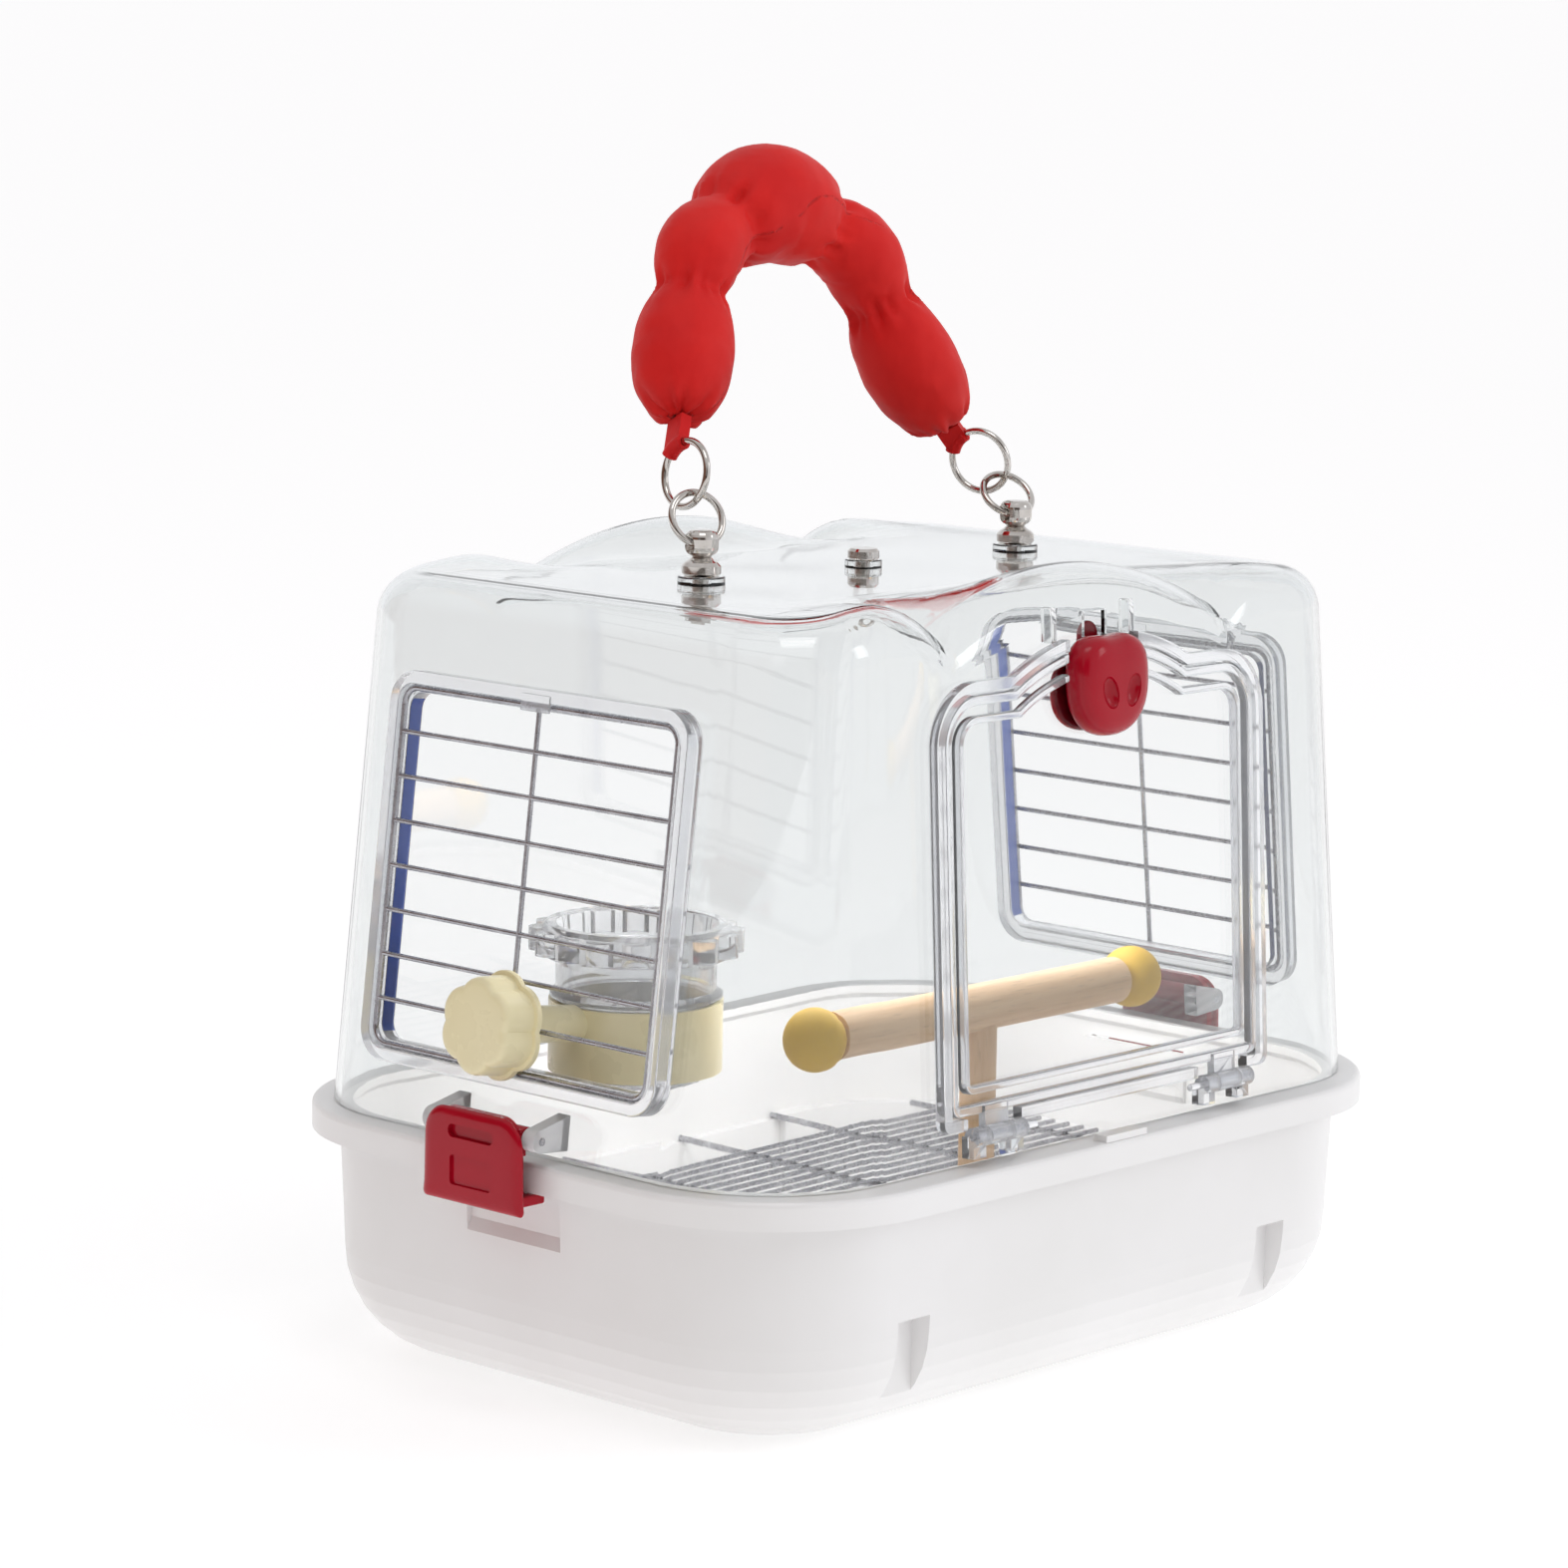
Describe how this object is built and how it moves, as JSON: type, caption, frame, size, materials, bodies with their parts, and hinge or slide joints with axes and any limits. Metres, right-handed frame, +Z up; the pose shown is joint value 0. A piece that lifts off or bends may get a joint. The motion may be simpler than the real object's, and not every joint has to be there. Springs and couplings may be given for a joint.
{
  "type": "bird travel carrier",
  "caption": "Free-standing bird travel carrier: white tray, clear cloud-topped dome, front door with latch, wire end windows, end clips, perch, food cup and padded handle.",
  "frame": {"origin": "middle of the tray's underside", "axes": "+X along the carrier to the end without the cup, door towards -Y, +Z up"},
  "size_m": [0.3752, 0.267, 0.4325],
  "materials": {
    "white_plastic": "warm white, satin gloss",
    "clear_plastic": "clear, polished",
    "red_plastic": "deep red, glossy",
    "cream_plastic": "pale cream, glossy",
    "steel_wire": "bright drawn wire",
    "bright_metal": "polished plating",
    "red_fabric": "bright red woven fabric, slight sheen",
    "beech": "plain pale wood",
    "yellow_wood": "matte yellow stain"
  },
  "bodies": {
    "carrier": {"tray": "white_plastic", "dome": "clear_plastic", "left_wire_window": "steel_wire", "right_wire_window": "steel_wire", "door_hinge_pins": "steel_wire", "clip_pins": "steel_wire", "left_swivel": "bright_metal", "right_swivel": "bright_metal", "swivel_nuts": "bright_metal", "roof_cap": "bright_metal", "roof_eye": "bright_metal", "wire_floor": "steel_wire", "perch_bar": "beech", "perch_post": "beech", "perch_balls": "yellow_wood", "perch_screw": "bright_metal", "perch_wing_nut": "bright_metal", "cup_holder": "cream_plastic"},
    "door": {"door": "clear_plastic"},
    "latch": {"latch_button": "red_plastic", "latch_plate": "red_plastic"},
    "left_clip": {"left_clip": "red_plastic"},
    "right_clip": {"right_clip": "red_plastic"},
    "left_ring": {"left_lower_ring": "bright_metal"},
    "right_ring": {"right_lower_ring": "bright_metal"},
    "handle": {"left_upper_ring": "bright_metal", "right_upper_ring": "bright_metal", "left_tab": "red_fabric", "right_tab": "red_fabric", "padded_grip": "red_fabric"},
    "cup": {"cup": "clear_plastic"},
    "knob": {"cup_knob": "cream_plastic"}
  },
  "joints": [
    {"name": "door_hinge", "type": "hinge", "parent": "carrier", "child": "door", "pos_m": [0, -0.12621, 0.10275], "axis": [1, 0, 0], "range_deg": [0, 100]},
    {"name": "door_latch", "type": "slide", "parent": "door", "child": "latch", "axis": [0, -0.0558, -0.9984], "range_m": [0, 0.0085]},
    {"name": "left_clip_hinge", "type": "hinge", "parent": "carrier", "child": "left_clip", "pos_m": [-0.1825, 0, 0.1015], "axis": [0, 1, 0], "range_deg": [0, 95]},
    {"name": "right_clip_hinge", "type": "hinge", "parent": "carrier", "child": "right_clip", "pos_m": [0.1825, 0, 0.1015], "axis": [0, -1, 0], "range_deg": [0, 95]},
    {"name": "left_ring_rock", "type": "hinge", "parent": "carrier", "child": "left_ring", "pos_m": [-0.084, -0.003, 0.2949], "axis": [1, 0, 0], "range_deg": [-15, 20]},
    {"name": "right_ring_rock", "type": "hinge", "parent": "carrier", "child": "right_ring", "pos_m": [0.084, -0.003, 0.2949], "axis": [1, 0, 0], "range_deg": [-15, 20]},
    {"name": "handle_swing", "type": "hinge", "parent": "left_ring", "child": "handle", "pos_m": [-0.08123, 0.00462, 0.3123], "axis": [0.9992, 0.0328, -0.0231], "range_deg": [-35, 78]},
    {"name": "cup_lift", "type": "slide", "parent": "carrier", "child": "cup", "axis": [0, 0, 1], "range_m": [0, 0.04]},
    {"name": "knob_turn", "type": "hinge", "parent": "carrier", "child": "knob", "pos_m": [-0.17791, 0, 0.13669], "axis": [-0.9934, 0, 0.1149], "continuous": true}
  ],
  "couplings": [
    {"joint": "right_ring_rock", "follows": "left_ring_rock", "ratio": 1}
  ]
}
